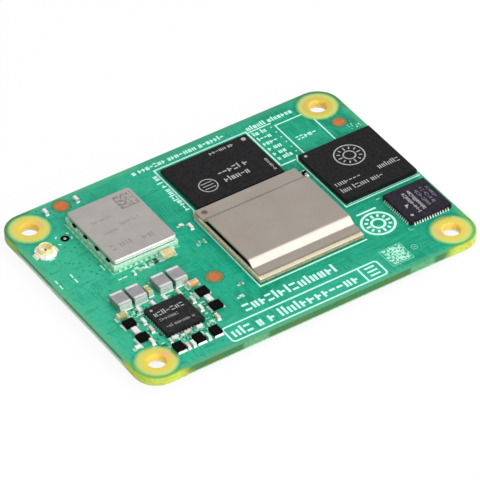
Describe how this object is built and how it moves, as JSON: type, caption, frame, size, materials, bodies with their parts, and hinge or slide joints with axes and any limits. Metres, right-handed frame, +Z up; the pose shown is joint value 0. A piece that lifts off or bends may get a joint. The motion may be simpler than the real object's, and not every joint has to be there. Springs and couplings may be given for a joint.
{
  "type": "system on module",
  "caption": "Small green circuit board with a lidded processor, memory, wireless module and power stage, that plugs onto a base board by connectors on its underside.",
  "frame": {"origin": "under the middle of the board, on the plane of the two connectors' mating faces", "axes": "+X along the board's long edge, +Y towards the edge that the memory lies by, +Z up from the base board to the processor lid"},
  "size_m": [0.055, 0.04, 0.0047],
  "materials": {
    "solder_mask": "semi-gloss green solder mask",
    "gold": "gold plating",
    "substrate": "cream laminate",
    "silicon": "polished silicon",
    "thermal_pad": "soft grey thermal pad",
    "adhesive": "cured adhesive",
    "nickel": "nickel plated, satin",
    "mould": "black moulding compound",
    "can": "satin tinned sheet",
    "carrier": "pale green laminate",
    "white_plastic": "white moulded plastic",
    "inductor": "grey moulded core with tinned ends",
    "ferrite": "black ferrite with tinned ends",
    "ceramic": "tan ceramic with tinned ends",
    "header_plastic": "black moulded plastic with gold contacts"
  },
  "bodies": {
    "root": {"antenna_connector_base": "white_plastic", "antenna_connector_pin": "gold", "antenna_connector_shell": "gold", "capacitor_back_1": "ceramic", "capacitor_back_2": "ceramic", "capacitor_back_3": "ceramic", "capacitor_back_4": "ceramic", "capacitor_between_1": "ceramic", "capacitor_between_2": "ceramic", "capacitor_between_3": "ceramic", "capacitor_corner": "ceramic", "capacitor_edge_left": "ceramic", "capacitor_edge_right": "ceramic", "capacitor_front_1": "ceramic", "capacitor_front_2": "ceramic", "capacitor_front_3": "ceramic", "capacitor_front_left": "ceramic", "capacitor_front_right": "ceramic", "capacitor_left_1": "ceramic", "capacitor_left_2": "ceramic", "capacitor_left_column": "ceramic", "capacitor_left_end": "ceramic", "capacitor_middle": "ceramic", "capacitor_processor": "ceramic", "capacitor_right_1": "ceramic", "capacitor_right_2": "ceramic", "capacitor_right_column": "ceramic", "capacitor_right_end": "ceramic", "capacitor_wireless": "ceramic", "choke_front_1": "ferrite", "choke_front_2": "ferrite", "choke_front_3": "ferrite", "choke_left_1": "ferrite", "choke_left_2": "ferrite", "choke_right_1": "ferrite", "choke_right_2": "ferrite", "circuit_board": "solder_mask", "io_controller": "mould", "lid_adhesive_back": "adhesive", "lid_adhesive_front": "adhesive", "memory_chip": "mould", "mezzanine_header_back": "header_plastic", "mezzanine_header_front": "header_plastic", "network_chip": "mould", "power_controller": "mould", "power_inductor_1": "inductor", "power_inductor_2": "inductor", "power_inductor_3": "inductor", "power_inductor_4": "inductor", "processor_die": "silicon", "processor_lid": "nickel", "processor_substrate": "substrate", "screw_pad_back_left": "gold", "screw_pad_back_right": "gold", "screw_pad_front_left": "gold", "screw_pad_front_right": "gold", "thermal_pad": "thermal_pad", "wireless_carrier": "carrier", "wireless_chip": "mould", "wireless_shield_can": "can"}
  },
  "joints": []
}
